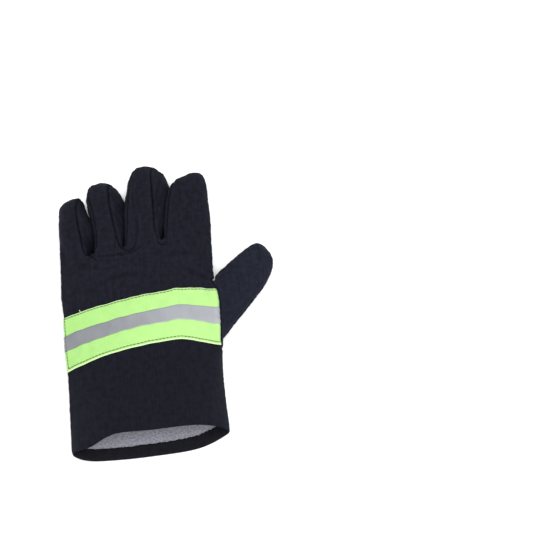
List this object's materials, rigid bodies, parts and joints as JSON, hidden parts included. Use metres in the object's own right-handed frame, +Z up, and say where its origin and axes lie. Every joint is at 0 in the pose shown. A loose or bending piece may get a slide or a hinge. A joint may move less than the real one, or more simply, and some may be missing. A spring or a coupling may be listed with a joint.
{
  "type": "rescue glove",
  "caption": "Left-hand rescue glove of dark navy cloth with a straight gauntlet, a lime band with a silver stripe across its back and a grey felt lining, lying palm down.",
  "frame": {"origin": "on the flat underside of the palm, in the middle of the body's width, under the band's lower edge", "axes": "+Y along the glove from the mouth to the fingertips, +X across it to the thumb, +Z up from the surface the palm lies on to the back of the hand"},
  "size_m": [0.1847, 0.2754, 0.0379],
  "materials": {
    "outer_cloth": "dark navy cotton canvas, matt, slightly fuzzy",
    "facing_cloth": "dark navy cotton cloth, matt",
    "lining_felt": "mottled grey felt, matt and fibrous",
    "band_fabric": "fluorescent lime woven tape, satin",
    "reflective_silver": "silver-grey glass-bead reflective film on cloth, semi-gloss"
  },
  "bodies": {
    "root": {"back_panel": "outer_cloth", "palm_panel": "outer_cloth", "fourchette_little_ring": "outer_cloth", "fourchette_ring_middle": "outer_cloth", "fourchette_middle_index": "outer_cloth", "thumb_back": "outer_cloth", "thumb_front": "outer_cloth", "cuff_facing": "facing_cloth", "lining": "lining_felt", "reflective_band": "band_fabric", "reflective_stripe": "reflective_silver"}
  },
  "joints": []
}
